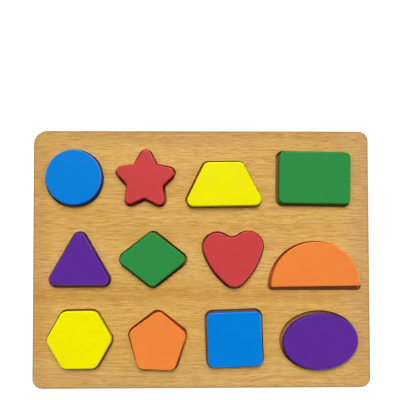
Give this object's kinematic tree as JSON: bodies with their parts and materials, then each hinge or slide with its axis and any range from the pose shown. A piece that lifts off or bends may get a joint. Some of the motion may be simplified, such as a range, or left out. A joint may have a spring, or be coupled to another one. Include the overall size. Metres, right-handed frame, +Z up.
{
  "type": "shape board puzzle",
  "caption": "Flat wooden puzzle board with shallow recesses in which thick painted shapes lie loose and stand proud so that a child can lift them out.",
  "frame": {"origin": "centre of the board's underside, on the surface that it lies on", "axes": "+X along the board's long side towards the row ends with the rectangle, +Y towards the row with the circle, +Z up out of the recesses"},
  "size_m": [0.3, 0.2296, 0.0101],
  "materials": {
    "board_base": "bare pale plywood",
    "board_face": "beech face under satin lacquer",
    "blue_paint": "wood under satin blue paint",
    "red_paint": "wood under satin red paint",
    "yellow_paint": "wood under satin yellow paint",
    "green_paint": "wood under satin green paint",
    "purple_paint": "wood under satin purple paint",
    "orange_paint": "wood under satin orange paint"
  },
  "bodies": {
    "board": {"base_board": "board_base", "front_panel": "board_face"},
    "circle": {"circle_piece": "blue_paint"},
    "star": {"star_piece": "red_paint"},
    "trapezoid": {"trapezoid_piece": "yellow_paint"},
    "rectangle": {"rectangle_piece": "green_paint"},
    "triangle": {"triangle_piece": "purple_paint"},
    "rhombus": {"rhombus_piece": "green_paint"},
    "heart": {"heart_piece": "red_paint"},
    "semicircle": {"semicircle_piece": "orange_paint"},
    "hexagon": {"hexagon_piece": "yellow_paint"},
    "pentagon": {"pentagon_piece": "orange_paint"},
    "square": {"square_piece": "blue_paint"},
    "oval": {"oval_piece": "purple_paint"}
  },
  "joints": [
    {"name": "circle_lift", "type": "slide", "parent": "board", "child": "circle", "axis": [0, 0, 1], "range_m": [0, 0.03]},
    {"name": "star_lift", "type": "slide", "parent": "board", "child": "star", "axis": [0, 0, 1], "range_m": [0, 0.03]},
    {"name": "trapezoid_lift", "type": "slide", "parent": "board", "child": "trapezoid", "axis": [0, 0, 1], "range_m": [0, 0.03]},
    {"name": "rectangle_lift", "type": "slide", "parent": "board", "child": "rectangle", "axis": [0, 0, 1], "range_m": [0, 0.03]},
    {"name": "triangle_lift", "type": "slide", "parent": "board", "child": "triangle", "axis": [0, 0, 1], "range_m": [0, 0.03]},
    {"name": "rhombus_lift", "type": "slide", "parent": "board", "child": "rhombus", "axis": [0, 0, 1], "range_m": [0, 0.03]},
    {"name": "heart_lift", "type": "slide", "parent": "board", "child": "heart", "axis": [0, 0, 1], "range_m": [0, 0.03]},
    {"name": "semicircle_lift", "type": "slide", "parent": "board", "child": "semicircle", "axis": [0, 0, 1], "range_m": [0, 0.03]},
    {"name": "hexagon_lift", "type": "slide", "parent": "board", "child": "hexagon", "axis": [0, 0, 1], "range_m": [0, 0.03]},
    {"name": "pentagon_lift", "type": "slide", "parent": "board", "child": "pentagon", "axis": [0, 0, 1], "range_m": [0, 0.03]},
    {"name": "square_lift", "type": "slide", "parent": "board", "child": "square", "axis": [0, 0, 1], "range_m": [0, 0.03]},
    {"name": "oval_lift", "type": "slide", "parent": "board", "child": "oval", "axis": [0, 0, 1], "range_m": [0, 0.03]}
  ]
}
